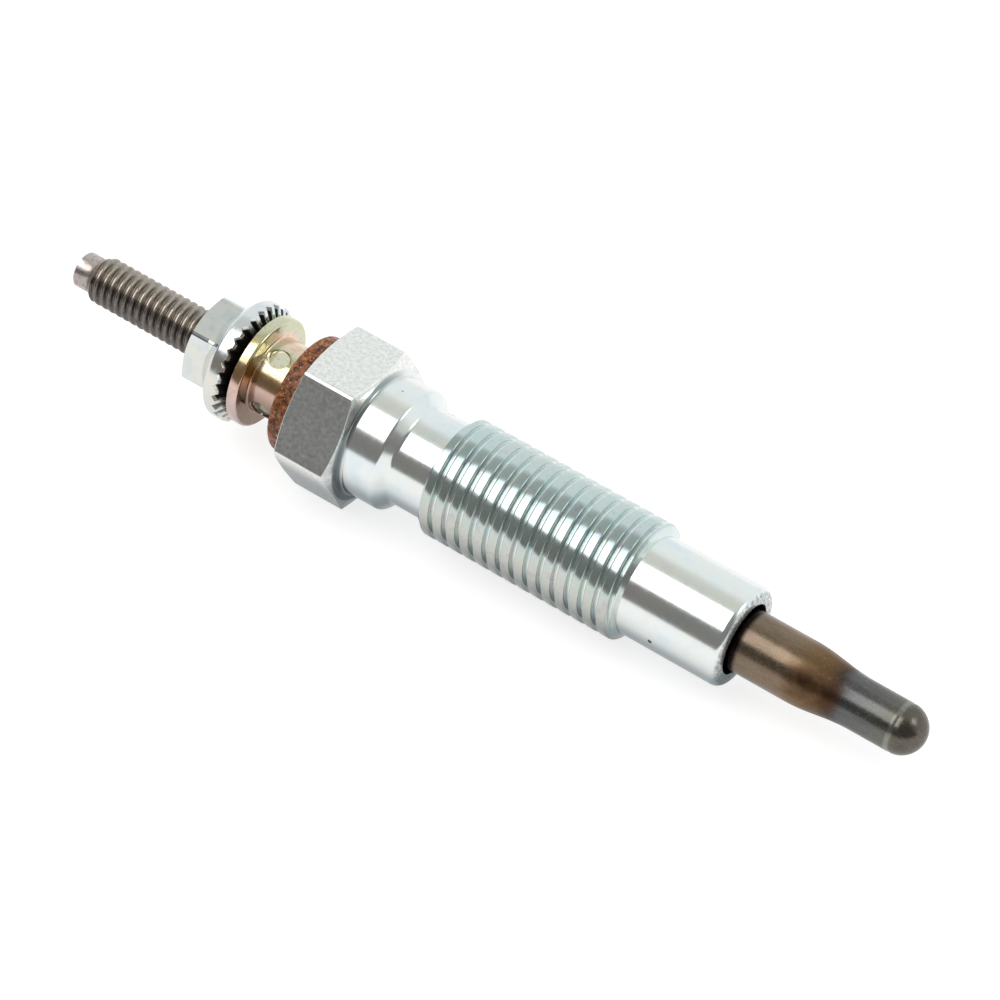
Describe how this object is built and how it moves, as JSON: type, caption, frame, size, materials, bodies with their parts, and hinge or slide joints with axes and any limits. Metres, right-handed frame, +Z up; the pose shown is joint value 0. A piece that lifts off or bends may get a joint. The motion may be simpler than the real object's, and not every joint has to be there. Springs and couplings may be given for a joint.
{
  "type": "diesel glow plug",
  "caption": "Metal-sheathed diesel glow plug: hexagon shell with taper seat and body thread, stepped round-nosed heater tube, insulated threaded terminal with a toothed flange nut.",
  "frame": {"origin": "on the plug's axis where the collar turns into the taper seat", "axes": "+X along the axis towards the heater's tip, +Z up with one flat of the hexagon facing down"},
  "size_m": [0.0784, 0.0136, 0.012],
  "materials": {
    "zinc_plate": "bright blue-white zinc plate",
    "rod_steel": "bare rolled steel, slightly dulled",
    "nut_zinc": "white zinc plate, satin",
    "yellow_zinc": "yellow passivated zinc plate, iridescent",
    "phenolic": "grainy moulded phenolic",
    "tinted_sheath": "drawn nickel alloy with a brown heat tint",
    "seal_rubber": "plain black rubber",
    "packing_rubber": "plain black rubber",
    "oxide_powder": "packed powder, matt",
    "control_wire": "drawn resistance wire",
    "heating_wire": "drawn resistance wire"
  },
  "bodies": {
    "root": {"metal_shell": "zinc_plate", "centre_rod": "rod_steel", "terminal_nut": "nut_zinc", "pressing_ring": "yellow_zinc", "insulating_bush": "phenolic", "sheath_tube": "tinted_sheath", "o_ring": "seal_rubber", "tube_seal": "packing_rubber", "insulating_powder": "oxide_powder", "control_coil": "control_wire", "heating_coil": "heating_wire"}
  },
  "joints": []
}
